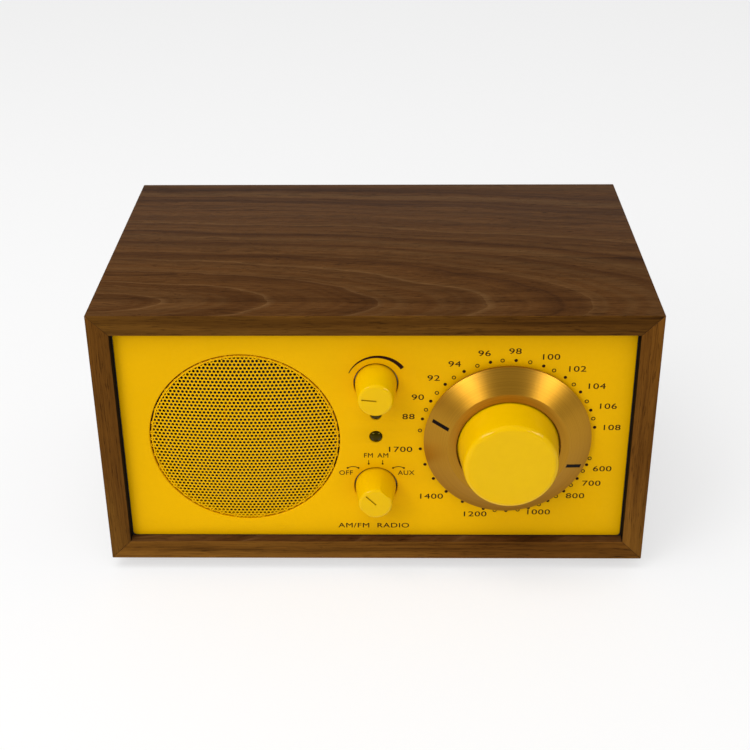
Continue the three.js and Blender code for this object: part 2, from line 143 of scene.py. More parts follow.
def start_material(name, inputs):
    """A material with a principled shader: the material, what adds nodes to it, the shader, and the
    piece's own coordinates in metres."""
    material = bpy.data.materials.new(name)
    material.use_nodes = True
    material.node_tree.nodes.clear()
    add = partial(put, material.node_tree)
    surface = add("BsdfPrincipled", inputs)
    add("OutputMaterial", {"Surface": surface})
    return material, add, surface.node, add("TexCoord", out="Object")


def join(shader, colour, gloss, bump, **others):
    """Feeds a material's colour, roughness, bump and what else it has to its shader."""
    for name, socket in {"Base Color": colour, "Roughness": gloss, "Normal": bump, **others}.items():
        shader.id_data.links.new(socket, shader.inputs[name])


def blend(add, way, amount, under, over):
    """Lays one colour over another in a Mix node's way."""
    return add("Mix", {0: amount, 6: under, 7: over}, out=2, data_type="RGBA", blend_type=way)


def grained(name, colour, shade, grain_mm, bump_mm, roughness, spread=0.05, specular=0.5, ior=1.5,
            metal=0.0, tint="#FFFFFF"):
    """A surface with a fine grain of a real size that varies its colour, gloss and height a little."""
    material, add, shader, place = start_material(name, {
        "Specular IOR Level": specular, "IOR": ior, "Metallic": metal, "Specular Tint": tint,
    })
    noise = add("TexNoise", {"Vector": place, "Scale": 1 / (grain_mm * MM), "Detail": 3.0})
    # Patches 25 mm across, where the finish took a little differently.
    broad = add("TexNoise", {"Vector": place, "Scale": 40.0, "Detail": 2.0})
    mixed = add("Mix", {"Factor": 0.5, "A": noise, "B": broad}, data_type="FLOAT")
    tone = add("ValToRGB", {"Fac": mixed}, [(0.3, shade), (0.7, colour)])
    gloss = add("MapRange", {
        "Value": broad, "From Min": 0.3, "From Max": 0.7,
        "To Min": max(0.02, roughness - spread), "To Max": roughness + spread,
    })
    bump = add("Bump", {"Height": noise, "Strength": 1.0, "Distance": bump_mm * MM})
    join(shader, tone, gloss, bump)
    return material


def walnut(name, tones, along, slant, depth, line, year_mm, lines, streaks, wander=0.014):
    """American walnut veneer, sliced crown-cut and given a satin lacquer: growth rings drawn out into
    dark streaks and pale-lined arches, with fine short pores along the grain. The log's heart runs at a
    slant, at a depth under the sheet and along a line, in metres. Lines and streaks are strengths."""
    dark, middle, light, pale = tones
    material, add, shader, place = start_material(name, {"IOR": 1.5, "Specular IOR Level": 0.02})
    turn = {"X": (0, 0, 0), "Z": (0, math.radians(90), 0)}[along]
    local = add("Mapping", {"Vector": place, "Rotation": turn})
    # The log's own waviness: a few millimetres over a few centimetres.
    wave = add("Mapping", {"Vector": local, "Scale": (13, 42, 42)})
    warp = add("TexNoise", {"Vector": wave, "Scale": 1.0, "Detail": 4.0, "Roughness": 0.55}, out="Color")
    shift = add("VectorMath", {0: warp, 1: (0.5, 0.5, 0.5)}, operation="SUBTRACT")
    shift = add("VectorMath", {0: shift, "Scale": wander}, operation="SCALE")
    bent = add("VectorMath", {0: local, 1: shift}, operation="ADD")
    axes = add("SeparateXYZ", {"Vector": bent}).node.outputs
    # The sheet cuts the log's rings at a slant, so they show as arches that run out along the heart line.
    depth = add("Math", {0: axes["X"], 1: slant, 2: depth}, operation="MULTIPLY_ADD")
    across = add("Math", {0: axes["Y"], 1: line}, operation="SUBTRACT")
    joined = add("CombineXYZ", {"X": depth, "Y": across})
    radius = add("VectorMath", {0: joined}, out="Value", operation="LENGTH")
    # Broad bands of colour about 8 mm across, with a thin pale line where a year's growth ends.
    bands = add("TexNoise", {"W": radius, "Scale": 120.0, "Detail": 4.0, "Roughness": 0.7},
                noise_dimensions="1D")
    base = add("ValToRGB", {"Fac": bands}, [(0.24, dark), (0.72, light), (0.45, middle)])
    year = add("Math", {0: radius, 1: 1 / (year_mm * MM)}, operation="MULTIPLY")
    year = add("Math", {0: year}, operation="FRACT")
    shade = add("ValToRGB", {"Fac": year},
                [(0.08, "#FFFFFF"), (0.90, "#D6CEC8"), (0.55, "#F6F3F0"), (0.99, "#EEE9E4")])
    base = blend(add, "MULTIPLY", lines, base, shade)
    ends = add("ValToRGB", {"Fac": year},
               [(0.0, "#C8C8C8"), (0.09, "#000000"), (0.90, "#000000"), (0.97, "#5A5A5A")])
    near = add("MapRange", {"Value": radius, "From Min": 0.02, "From Max": 0.075,
                            "To Min": lines, "To Max": lines * 0.15})
    ends = add("Math", {0: ends, 1: near}, operation="MULTIPLY")
    wood = blend(add, "MIX", ends, base, pale)
    # Shaded bands 8 mm across, dark streaks 2 mm across, fibres 0.5 mm across, and pores 0.4 mm across
    # and 7 mm long: real pores are half as wide, and these are as coarse as it takes to show.
    for scale, low_stop, high_stop, shade, weight in (
        ((3.5, 130, 130), 0.34, 0.56, "#ACA198", streaks),
        ((5, 480, 480), 0.29, 0.43, "#8F857B", streaks),
        ((45, 2000, 2000), 0.30, 0.60, "#B8B2AC", 0.6),
        ((140, 2600, 2600), 0.28, 0.44, "#857B72", 0.85),
    ):
        stretch = add("Mapping", {"Vector": bent, "Scale": scale})
        fibre = add("TexNoise", {"Vector": stretch, "Scale": 1.0, "Detail": 3.0, "Roughness": 0.6})
        tone = add("ValToRGB", {"Fac": fibre}, [(low_stop, shade), (high_stop, "#FFFFFF")])
        wood = blend(add, "MULTIPLY", weight, wood, tone)
    gloss = add("MapRange", {"Value": fibre, "To Min": 0.5, "To Max": 0.36})
    bump = add("Bump", {"Height": fibre, "Strength": 0.6, "Distance": 0.05 * MM})
    join(shader, wood, gloss, bump)
    return material


def gold_anodised_aluminium():
    """Turned aluminium, brushed in circles and anodised gold: the scratches run round the ring, so lights
    spread into fans from the middle to the rim."""
    material, add, shader, _ = start_material("gold_anodised_aluminium", {
        "Metallic": 1.0, "Roughness": 0.3, "Anisotropic": 0.75, "Coat Weight": 0.1, "Coat Roughness": 0.3,
    })
    uv = add("UVMap", uv_map="turning")
    rings = add("Mapping", {"Vector": uv, "Scale": (4000, 2, 1)})
    # Scratches about 0.25 mm apart, a little coarser than real brushing so that they show.
    scratch = add("TexNoise", {"Vector": rings, "Scale": 1.0, "Detail": 2.0}, noise_dimensions="2D")
    tone = add("ValToRGB", {"Fac": scratch}, [(0.3, "#A5751B"), (0.7, "#B38222")])
    gloss = add("MapRange", {"Value": scratch, "To Min": 0.34, "To Max": 0.42})
    bump = add("Bump", {"Height": scratch, "Strength": 0.07, "Distance": 0.01 * MM})
    radial = add("Tangent", direction_type="UV_MAP", uv_map="turning")
    join(shader, tone, gloss, bump, Tangent=radial)
    return material


DULL = 0.05  # specular level of a matt film that hardly gleams
# Veneer is darker than the edging strips, and the strips on the left and the top catch less light.
# Each set goes from dark over middle and light to the pale line that ends a year.
TOP_TONES = ("#462B15", "#5D3B1B", "#684827", "#84613B")
EDGE_TONES = ("#633C0F", "#774C19", "#875B20", "#966A2A")
LEFT_EDGE_TONES = ("#55330B", "#664014", "#744E1A", "#815B23")
TOP_EDGE_TONES = ("#502F0A", "#603D12", "#6E4918", "#7A5620")
WALNUT_FLAT = walnut("walnut_veneer_flat", TOP_TONES, "X", slant=0.25, depth=0.030,
                     line=CABINET_LOW.y + 0.012, year_mm=10, lines=0.7, streaks=0.45)
WALNUT_UPRIGHT = walnut("walnut_veneer_upright", TOP_TONES, "Z", slant=0.2, depth=0.045,
                        line=-0.02, year_mm=10, lines=0.6, streaks=0.5)
EDGING = {}
for board, board_tones, board_grain in (("top", TOP_EDGE_TONES, "X"), ("bottom", EDGE_TONES, "X"),
                                        ("left", LEFT_EDGE_TONES, "Z"), ("right", EDGE_TONES, "Z")):
    EDGING[f"cabinet_{board}"] = walnut(f"walnut_edging_{board}", board_tones, board_grain, slant=0.05,
                                        depth=0.09, line=0.3, year_mm=6, lines=0.2, streaks=0.6,
                                        wander=0.004)
# The side boards' inner faces are coloured near black as painted shade, so the recess round the face reads
# as a dark shadow line.
PAINTED_SHADE_INSIDE = grained("walnut_inside_painted_shade", "#170D07", "#0C0603", 1.0, 0.02, 0.7, specular=DULL)
# Sprayed enamel on metal: nearly smooth, with the faint orange peel of a sprayed coat.
YELLOW_ENAMEL = grained("yellow_sprayed_enamel", "#E8B000", "#E4AC00", 1.6, 0.004, 0.3, specular=0.03)
# Moulded and polished ABS: deep even colour with a sharp gloss.
YELLOW_ABS = grained("yellow_polished_abs", "#E6B700", "#E2B200", 3.0, 0.001, 0.1,
                     spread=0.02, specular=0.1, ior=1.53)
# The same ABS where the cutter left it matt, its colour darkened as painted shade in the groove: a darker,
# duller line.
GROOVE_SHADE_ABS = grained("yellow_abs_painted_groove_shade", "#C29500", "#A87E00", 0.5, 0.01, 0.6, specular=DULL)
GOLD = gold_anodised_aluminium()
# Screen-printed ink: a thin matt film, brown-black.
INK = grained("brown_black_printing_ink", "#2E0F07", "#230A05", 0.4, 0.004, 0.55, specular=DULL)
# Gloss black paint wiped into an engraved line; the same black fills the screws' cross recesses as painted
# shade.
BLACK_PAINT_AND_RECESS_SHADE = grained("black_filling_paint_and_recess_shade", "#140B08", "#0C0604", 0.5, 0.004, 0.3, specular=DULL)
# Smoke-tinted polycarbonate: dark, and as glossy as glass. Its gloss is tinted yellow, a painted
# reflection of the yellow face round it.
SMOKED = grained("smoked_polycarbonate", "#2E2600", "#1A1500", 2.0, 0.001, 0.05,
                 spread=0.01, specular=0.45, ior=1.58, tint="#C4AA3C")
# Spark-eroded mould finish on black ABS: an even fine grain that kills the gloss.
BLACK_ABS = grained("black_grained_abs", "#1B1B1C", "#141415", 0.5, 0.05, 0.5)
SMOOTH_ABS = grained("black_smooth_abs", "#141414", "#0F0F10", 1.0, 0.004, 0.28)
# Moulded nitrile rubber: dull, slightly chalky black.
RUBBER = grained("black_moulded_rubber", "#1A1A1A", "#101010", 0.6, 0.03, 0.8)
# Bright nickel over brass, turned then plated.
NICKEL = grained("nickel_plated_brass", "#CFC8B8", "#BDB6A6", 0.6, 0.004, 0.22, metal=1.0)
# Natural nylon: milky white, slightly waxy.
WHITE_NYLON = grained("natural_nylon", "#E4E0D6", "#D6D1C5", 1.5, 0.004, 0.4)
# Zinc-plated mild steel: greyish with a soft spangle.
ZINC = grained("zinc_plated_steel", "#AEB2B6", "#989CA1", 2.5, 0.004, 0.38, metal=1.0)
# Electrocoated pressed steel: dark satin film that follows the press marks.
DARK_STEEL = grained("electrocoated_steel", "#2C2D2F", "#232425", 1.2, 0.01, 0.45)
# Black-oxide screws: dark metal with oiled sheen.
BLACK_OXIDE = grained("black_oxide_steel", "#2B2A2A", "#1E1D1D", 0.5, 0.004, 0.35, metal=1.0)
# Machined gear brass: warm metal with tool marks.
GEAR_BRASS = grained("machined_brass", "#C9A24E", "#B58C3A", 0.4, 0.01, 0.3, metal=1.0)
# Pressed paper pulp, dyed black: matt and fibrous.
PAPER = grained("black_paper_pulp", "#1C1B19", "#0F0E0D", 0.8, 0.08, 0.9)
# Phenolic-dipped cotton: honey brown weave.
SPIDER = grained("resin_dipped_cotton", "#B98C4C", "#8F6833", 0.5, 0.1, 0.85)
# Sintered ferrite: grey-black ceramic, finely granular.
FERRITE = grained("sintered_ferrite", "#353538", "#242426", 0.7, 0.02, 0.6)
# Enamelled copper wire wound in layers.
COPPER = grained("enamelled_copper", "#B5622A", "#8C441A", 0.5, 0.15, 0.35, metal=1.0)
# Glass-epoxy board under green solder mask: glossy with the weave just showing.
BOARD = grained("solder_masked_board", "#1D5A35", "#17482A", 0.9, 0.01, 0.32)
# Extruded aluminium, left bare.
BARE_ALUMINIUM = grained("extruded_aluminium", "#C2C5C8", "#A9ADB1", 0.8, 0.01, 0.4, metal=1.0)


# ---- Making pieces ----
def mesh_from(bm, name="part"):
    """Turns a bmesh into a mesh and frees it."""
    mesh = bpy.data.meshes.new(name)
    bm.to_mesh(mesh)
    bm.free()
    return mesh


def finish_piece(name, shape, materials, replaces=(), sharp=40, body="cabinet"):
    """Makes a bmesh or a mesh a piece that rides on a body and may stand for CAD nodes. Edges that turn
    by more than sharp degrees stay sharp."""
    mesh = mesh_from(shape, name) if isinstance(shape, bmesh.types.BMesh) else shape
    for material in materials:
        mesh.materials.append(material)
    mesh.shade_smooth()
    mesh.set_sharp_from_angle(angle=math.radians(sharp))
    piece = add_object(name, mesh)
    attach(piece, body)
    if replaces:
        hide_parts(*replaces)


def rounded(corners, steps=6):
    """The outline through (x, y) corners, where a corner (x, y, radius) is an arc."""
    line = []
    for index, corner in enumerate(corners):
        here = Vector((*corner[:2], 0))
        if len(corner) < 3:
            line.append(here.xy[:])
            continue
        before = (Vector((*corners[index - 1][:2], 0)) - here).normalized()
        after = (Vector((*corners[(index + 1) % len(corners)][:2], 0)) - here).normalized()
        half = before.angle(after) / 2
        middle = here + (before + after).normalized() * (corner[2] / math.sin(half))
        start = here + before * (corner[2] / math.tan(half)) - middle
        end = here + after * (corner[2] / math.tan(half)) - middle
        for step in range(steps + 1):
            line.append((middle + start.slerp(end, step / steps).normalized() * corner[2]).xy[:])
    return line


def turn_profile(profile, steps=96, closed=False):
    """A shape turned about the Y axis from (radius, depth) points in mm."""
    bm = bmesh.new()
    points = [bm.verts.new((radius * MM, depth * MM, 0)) for radius, depth in profile]
    pairs = list(zip(points, points[1:] + points[:1])) if closed else list(zip(points, points[1:]))
    edges = [bm.edges.new(pair) for pair in pairs]
    bmesh.ops.spin(bm, geom=points + edges, axis=(0, 1, 0), cent=(0, 0, 0), dvec=(0, 0, 0),
                   angle=2 * math.pi, steps=steps, use_merge=True)
    bmesh.ops.remove_doubles(bm, verts=bm.verts, dist=0.002 * MM)
    face_out(bm)
    bm.normal_update()
    return bm


def place_at(bm, where, turn=None):
    """Moves a finished shape to its place in the frame, after an optional turn."""
    matrix = Matrix.Translation(where)
    if turn:
        matrix = matrix @ turn
    bmesh.ops.transform(bm, matrix=matrix, verts=bm.verts)
    return bm


def face_out(bm):
    """Turns every face's front outwards."""
    bmesh.ops.recalc_face_normals(bm, faces=bm.faces)


def soften(bm, radius, segments=2, edges=None):
    """Rounds edges by a radius in mm: those given, or all of them."""
    bmesh.ops.bevel(bm, geom=edges or bm.edges[:], offset=radius * MM, offset_type="OFFSET",
                    segments=segments, profile=0.5, affect="EDGES", material=-1)


def deepen(bm, faces, depth):
    """Extrudes faces along Y by a depth in metres and gives back the vertices that moved."""
    made = bmesh.ops.extrude_face_region(bm, geom=faces)
    moved = [item for item in made["geom"] if isinstance(item, bmesh.types.BMVert)]
    bmesh.ops.translate(bm, vec=(0, depth, 0), verts=moved)
    return moved


def block(size, where, radius, segments=2):
    """A block of a size in metres round a point, with edges softened by a radius in mm."""
    bm = bmesh.new()
    bmesh.ops.create_cube(bm, size=1.0, matrix=Matrix.Translation(where) @ Matrix.Diagonal((*size, 1)))
    soften(bm, radius, segments)
    return bm


UPRIGHT = Matrix.Rotation(math.radians(90), 4, "X")  # a turned piece's depth becomes its height


def facing(degrees):
    """Turns a piece made along +X about the Y axis, anticlockwise as seen from the front."""
    return Matrix.Rotation(-math.radians(degrees), 4, "Y")


def add_shape(target, bm):
    """Adds one shape to another and frees it."""
    mesh = mesh_from(bm)
    target.from_mesh(mesh)
    bpy.data.meshes.remove(mesh)


def circle_at(node, radius, steps=64):
    """The outline in mm of a round opening that a node is centred in."""
    middle = centre(node) / MM
    angles = [2 * math.pi * step / steps for step in range(steps)]
    return [(middle.x + radius * math.cos(a), middle.z + radius * math.sin(a)) for a in angles]


def box_outline(left, right, bottom, top, radius):
    corners = ((left, bottom), (right, bottom), (right, top), (left, top))
    return rounded([(x, z, radius) for x, z in corners])


def node_outline(node, radius):
    """The outline in mm of a node's box from the front, with rounded corners."""
    box_low, box_high = low(node) / MM, high(node) / MM
    return box_outline(box_low.x, box_high.x, box_low.z, box_high.z, radius)


def outline_round(node, wide, tall, radius):
    """The outline in mm of a box of a given half width and half height round a node's middle."""
    middle = centre(node) / MM
    return box_outline(middle.x - wide, middle.x + wide, middle.z - tall, middle.z + tall, radius)


def plate_mesh(name, outlines, front, back, edge):
    """A plate between two depths. Its rim, its holes and the softening of its edges are in mm."""
    flat = bpy.data.curves.new(name, "CURVE")
    flat.dimensions = "2D"
    flat.fill_mode = "BOTH"
    flat.extrude = (back - front) / 2 - edge * MM
    flat.bevel_depth = edge * MM
    flat.bevel_resolution = 2
    flat.offset = -edge * MM
    for index, outline in enumerate(outlines):
        points = outline if index == 0 else outline[::-1]
        spline = flat.splines.new("POLY")
        spline.points.add(len(points) - 1)
        for point, (x, z) in zip(spline.points, points):
            point.co = (x * MM, z * MM, 0, 1)
        spline.use_cyclic_u = True
    mesh = curve_mesh(flat)
    mesh.transform(Matrix.Translation((0, (front + back) / 2, 0)) @ UPRIGHT)
    return mesh


def curve_mesh(curve):
    """The mesh that a curve or a line of text makes, with its doubles merged."""
    holder = add_object("holder", curve)
    ready = holder.evaluated_get(bpy.context.evaluated_depsgraph_get())
    mesh = bpy.data.meshes.new_from_object(ready)
    bpy.data.objects.remove(holder)
    bm = bmesh.new()
    bm.from_mesh(mesh)
    bmesh.ops.remove_doubles(bm, verts=bm.verts, dist=0.001 * MM)
    bm.to_mesh(mesh)
    bm.free()
    return mesh


# ---- Cabinet ----
ARRIS = 0.22  # mm taken off the boards' edges
MITRE_GAP = 0.02 * MM  # keeps neighbouring boards just apart
PORT_HOLE = 16.9  # mm, radius


def mitred_board(node, corners, flat):
    """A board with mitred ends: corners go round its front end. Its front and back ends show edging, and
    the faces turned inwards on a side board show painted shade.
    """
    bm = bmesh.new()
    front = CABINET_LOW.y
    face = bm.faces.new([bm.verts.new((x, front, z)) for x, z in corners])
    deepen(bm, [face], CABINET_HIGH.y - front)
    face_out(bm)
    soften(bm, ARRIS)
    for face in bm.faces:
        # Faces turned inwards on the side boards take the painted shade.
        inside = face.normal.x * face.calc_center_median().x < 0 and abs(face.normal.x) > 0.9
        face.material_index = 1 if abs(face.normal.y) > 0.7 else 2 if inside else 0
    finish_piece(f"{node}_veneered", bm, [flat, EDGING[node], PAINTED_SHADE_INSIDE], [node],
                 sharp=50)


def make_cabinet():
    left, bottom, right, top = CABINET_LOW.x, CABINET_LOW.z, CABINET_HIGH.x, CABINET_HIGH.z
    edge, inner = MITRE_GAP, WALL + MITRE_GAP
    mitred_board("cabinet_top", [(left + edge, top), (left + inner, top - WALL),
                                 (right - inner, top - WALL), (right - edge, top)], WALNUT_FLAT)
    mitred_board("cabinet_left", [(left, bottom + edge), (left + WALL, bottom + inner),
                                  (left + WALL, top - inner), (left, top - edge)], WALNUT_UPRIGHT)
    mitred_board("cabinet_right", [(right, bottom + edge), (right, top - edge),
                                   (right - WALL, top - inner), (right - WALL, bottom + inner)],
                 WALNUT_UPRIGHT)


def make_bottom_board():
    """The bottom board has a hole for the port, so it is filled between rings instead of extruded."""
    front, back, bottom = CABINET_LOW.y, CABINET_HIGH.y, CABINET_LOW.z
    port = centre("bass_port")
    bm = bmesh.new()
    rims, holes = [], []
    for level, inset in ((bottom, MITRE_GAP), (bottom + WALL, WALL + MITRE_GAP)):
        left, right = CABINET_LOW.x + inset, CABINET_HIGH.x - inset
        corners = ((left, front), (right, front), (right, back), (left, back))
        outer = [bm.verts.new((x, y, level)) for x, y in corners]
        hole = bmesh.ops.create_circle(bm, segments=64, radius=PORT_HOLE * MM,
                                       matrix=Matrix.Translation((port.x, port.y, level)))["verts"]
        outer_edges = [bm.edges.new((outer[i], outer[(i + 1) % 4])) for i in range(4)]
        hole_edges = list(dict.fromkeys(edge for vert in hole for edge in vert.link_edges))
        bmesh.ops.triangle_fill(bm, use_beauty=True, use_dissolve=False, edges=outer_edges + hole_edges)
        rims += outer_edges
        holes += hole_edges
    bmesh.ops.bridge_loops(bm, edges=rims)
    bmesh.ops.bridge_loops(bm, edges=holes)
    face_out(bm)
    round_port = {vert for edge in holes for vert in edge.verts}
    sharp = [edge for edge in bm.edges if edge.is_manifold and edge.calc_face_angle(0) > 0.5
             and not round_port.intersection(edge.verts)]
    soften(bm, ARRIS, edges=sharp)
    for face in bm.faces:
        face.material_index = 1 if abs(face.normal.y) > 0.7 else 0
    finish_piece("cabinet_bottom_veneered", bm, [WALNUT_FLAT, EDGING["cabinet_bottom"]],
                 ["cabinet_bottom"], sharp=50)


def make_feet():
    for node in [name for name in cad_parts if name.startswith("foot_")]:
        base, top = low(node), high(node)
        height = (top.z - base.z) / MM
        profile = rounded([(0, 0), (7.0, 0, 0.4), (7.4, 0.6, 0.3), (8.3, 0.6, 0.5), (9.2, height, 0.3),
                           (0, height)])
        bm = turn_profile(profile, 64)
        place_at(bm, Vector((centre(node).x, centre(node).y, base.z)), UPRIGHT)
        finish_piece(f"{node}_rubber", bm, [RUBBER], [node])


def make_bass_port():
    node = "bass_port"
    height = (high(node).z - low(node).z) / MM
    profile = rounded([(19.9, 0.7, 0.3), (19.9, 1.2, 0.1), (16.5, 1.2), (16.5, height, 0.8),
                       (14, height, 0.8), (14, 6, 5), (17.5, 0.0, 1.6)], 8)
    bm = turn_profile(profile, 80, closed=True)
    place_at(bm, Vector((centre(node).x, centre(node).y, low(node).z)), UPRIGHT)
    finish_piece("bass_port_flared", bm, [BLACK_ABS], [node])


# ---- Face ----
FACE_CORNER = 1.5  # mm, as the next three: the radii of the face panel's corners and openings
GRILLE_HOLE = 36.95
DIAL_HOLE = 8.2
KNOB_HOLE = 8.5


def make_face_panel():
    outlines = [node_outline("face_panel", FACE_CORNER), circle_at("speaker_grille", GRILLE_HOLE, 128),
                circle_at("dial_ring", DIAL_HOLE)]
    outlines += [circle_at(knob, KNOB_HOLE, 72) for knob in ("volume_knob", "source_knob")]
    outlines += [circle_at(lamp, radius_of(lamp), 40) for lamp in ("power_lamp", "tuning_lamp")]
    mesh = plate_mesh("face", outlines, FACE_Y, high("face_panel").y, 0.35)
    finish_piece("face_panel_enamelled", mesh, [YELLOW_ENAMEL], ["face_panel"])


def make_gap_shadow_strip():
    """A soft black strip that fills the gap between the face panel and the boards round it: painted
    shadow, so the gap reads as a dark line.
    """
    recess = box_outline((CABINET_LOW.x + WALL) / MM, (CABINET_HIGH.x - WALL) / MM,
                         (CABINET_LOW.z + WALL) / MM, (CABINET_HIGH.z - WALL) / MM, 0.3)
    outlines = [recess, node_outline("face_panel", FACE_CORNER)]
    mesh = plate_mesh("gap_shadow_curve", outlines, FACE_Y + 0.4 * MM, FACE_Y + 1.4 * MM, 0.05)
    finish_piece("face_gap_painted_shadow", mesh, [RUBBER])


def perforated_sheet(radius, pitch, row, hole, thickness, rise):
    """A round sheet of staggered round holes that bulges forward by its rise, made of six-sided cells
    that each hold one hole. Everything is in mm, and hole is a radius."""
    slope = pitch * pitch / (8 * row)
    tall, short = row / 2 + slope, row / 2 - slope
    corners = [(pitch / 2, short), (0, tall), (-pitch / 2, short), (-pitch / 2, -short), (0, -tall),
               (pitch / 2, -short)]
    border = []
    for here, there in zip(corners, corners[1:] + corners[:1]):
        border += [here, ((here[0] + there[0]) / 2, (here[1] + there[1]) / 2)]
    cell = bmesh.new()
    outer = [cell.verts.new((x * MM, 0, z * MM)) for x, z in border]
    inner = [cell.verts.new(Vector((x, 0, z)).normalized() * hole * MM) for x, z in border]
    for i in range(12):
        j = (i + 1) % 12
        cell.faces.new((outer[i], outer[j], inner[j], inner[i]))
    one = mesh_from(cell)
    sheet = bmesh.new()
    rows, half = int(radius / row) + 1, int(radius / pitch) + 1
    at = Vector((0, 0, 0))
    for line in range(-rows, rows + 1):
        z = line * row
        offset = pitch / 2 if line % 2 else 0
        for column in range(-half, half + 1):
            x = column * pitch + offset
            if math.hypot(x, z) > radius:
                continue
            there = Vector((x * MM, 0, z * MM))
            one.transform(Matrix.Translation(there - at))
            at = there
            sheet.from_mesh(one)
    bpy.data.meshes.remove(one)
    bmesh.ops.remove_doubles(sheet, verts=sheet.verts, dist=0.003 * MM)
    for vert in sheet.verts:
        share = math.hypot(vert.co.x, vert.co.z) / (radius * MM)
        vert.co.y = -rise * MM * max(0, 1 - share * share)
    face_out(sheet)
    bmesh.ops.solidify(sheet, geom=sheet.faces[:], thickness=thickness * MM)
    return sheet


def make_grille():
    node = "speaker_grille"
    where = Vector((centre(node).x, low(node).y, centre(node).z))
    radius = radius_of(node) - 0.3
    sheet = perforated_sheet(radius - 0.3, pitch=1.56, row=1.42, hole=0.60, thickness=0.25, rise=2.6)
    bmesh.ops.translate(sheet, vec=(0, 0.4 * MM, 0), verts=sheet.verts)
    inner = radius - 0.55
    rim = turn_profile(rounded([(inner, 0.05), (radius, 0.0, 0.4), (radius, 2.8), (inner, 2.8)]), 128,
                       closed=True)
    add_shape(sheet, rim)
    place_at(sheet, where)
    finish_piece("speaker_grille_perforated", sheet, [YELLOW_ENAMEL], [node])


def make_lamps():
    for node in ("power_lamp", "tuning_lamp"):
        radius = radius_of(node) - 0.15
        back = (high(node).y - FACE_Y) / MM
        front = max((low(node).y - FACE_Y) / MM, -0.9)  # a low dome
        dome = [(radius * math.sin(math.radians(a)), 0.3 + (front - 0.3) * math.cos(math.radians(a)))
                for a in range(0, 91, 9)]
        bm = turn_profile(dome + [(radius, back), (0, back)], 48)
        place_at(bm, on_face(node))
        finish_piece(f"{node}_dome", bm, [SMOKED], [node])


# ---- Dial and knobs ----
def map_turning(bm):
    """A UV map named turning: U is the radius in metres and V is the angle as a share of a turn."""
    layer = bm.loops.layers.uv.new("turning")
    for face in bm.faces:
        middle = face.calc_center_median()
        home = math.atan2(middle.z, middle.x)
        for loop in face.loops:
            x, z = loop.vert.co.x, loop.vert.co.z
            angle = math.atan2(z, x)
            angle += 2 * math.pi * round((home - angle) / (2 * math.pi))
            loop[layer].uv = (math.hypot(x, z), angle / (2 * math.pi))


def make_dial_ring():
    node = "dial_ring"
    radius = radius_of(node)
    crest, crest_radius = (FACE_Y - low(node).y) / MM, 23.2
    rim = 2.35  # mm that the ring's outer edge stands proud of the face
    profile = rounded([
        (5.3, -3), (20.4, -3), (20.4, -crest + 1.2), (19.8, -crest + 0.1, 0.12),
        (crest_radius, -crest, 0.5), (radius, -rim, 0.18), (radius - 0.5, -0.5, 0.2),
        (radius - 1.6, -0.5), (crest_radius, -crest + 2.4),
        (21.6, -crest + 2.4), (21.4, -1.9), (7.5, -1.9), (7.5, 2.5), (5.3, 2.5),
    ])
    bm = turn_profile(profile, 144, closed=True)
    map_turning(bm)
    place_at(bm, on_face(node))
    finish_piece("dial_ring_brushed", bm, [GOLD], [node], sharp=25, body="dial")
    fall = (crest - rim) / (radius - crest_radius)
    cone = [(reach, crest - (reach - crest_radius) * fall) for reach in (24.15, 30.5)]
    for name, degrees in (("fm_pointer", 161.6), ("am_pointer", -20.4)):
        make_pointer(name, degrees, cone)


def make_pointer(name, degrees, cone):
    """An engraved line filled with black paint, drawn as a shallow trough that lies on the cone."""
    section = [(-0.75, 0.0), (-0.7, 0.14), (-0.4, 0.12), (0, 0.05), (0.4, 0.12), (0.7, 0.14), (0.75, 0.0)]
    bm = bmesh.new()
    ends = []
    for radius, height in cone:
        places = [Vector((radius, -(height + rise - 0.02), z)) * MM for z, rise in section]
        ends.append([bm.verts.new(place) for place in places])
    for i in range(len(section) - 1):
        bm.faces.new((ends[0][i], ends[0][i + 1], ends[1][i + 1], ends[1][i]))
    bm.faces.new((ends[0][-1], ends[0][0], ends[1][0], ends[1][-1]))
    bm.faces.new(ends[0])
    bm.faces.new(ends[1][::-1])
    face_out(bm)
    place_at(bm, on_face("dial_ring"), facing(degrees))
    finish_piece(name, bm, [BLACK_PAINT_AND_RECESS_SHADE], sharp=25, body="dial")


LINE_WIDTH = 0.6 * MM
LINE_DEPTH = 0.4 * MM


def engrave(bm, front, start, end):
    """Sinks a straight groove into the flat front of a turned knob, along X, and gives it the darker
    colour of painted shade.
    """
    def near_front():
        bm.normal_update()
        faces = [f for f in bm.faces
                 if f.normal.y < -0.99 and abs(f.calc_center_median().y - front) < 1e-5]
        return list({item for f in faces for item in (f, *f.edges, *f.verts)})

    half = LINE_WIDTH / 2
    for point, normal in (((0, 0, half), (0, 0, 1)), ((0, 0, -half), (0, 0, 1)),
                          ((start, 0, 0), (1, 0, 0)), ((end, 0, 0), (1, 0, 0))):
        bmesh.ops.bisect_plane(bm, geom=near_front(), plane_co=point, plane_no=normal, dist=1e-7)
    inside = []
    for face in bm.faces:
        middle = face.calc_center_median()
        if abs(middle.y - front) < 1e-5 and abs(middle.z) < half and start < middle.x < end:
            inside.append(face)
    sunk = deepen(bm, inside, LINE_DEPTH)
    bmesh.ops.delete(bm, geom=inside, context="FACES")
    # The groove's floor and walls take the painted shade.
    for face in {face for vert in sunk for face in vert.link_faces}:
        face.material_index = 1


def small_knob(node, front, pointer, flats=None):
    """A tapered knob with a front radius, an engraved line at an angle and flats at a half width."""
    reach = (FACE_Y - low(node).y) / MM
    bore = 3.2
    profile = rounded([
        (0, -reach), (front, -reach, 1.3), (8.0, -0.6, 0.4), (8.0, 0.9), (bore, 0.9),
        (bore, -reach + 2.7), (0, -reach + 2.7),
    ])
    bm = turn_profile(profile, 96)
    if flats:
        bm = flatten(bm, reach, flats)
    engrave(bm, -reach * MM, -0.35 * MM, (front - 1.35) * MM)
    return place_at(bm, on_face(node), facing(pointer))


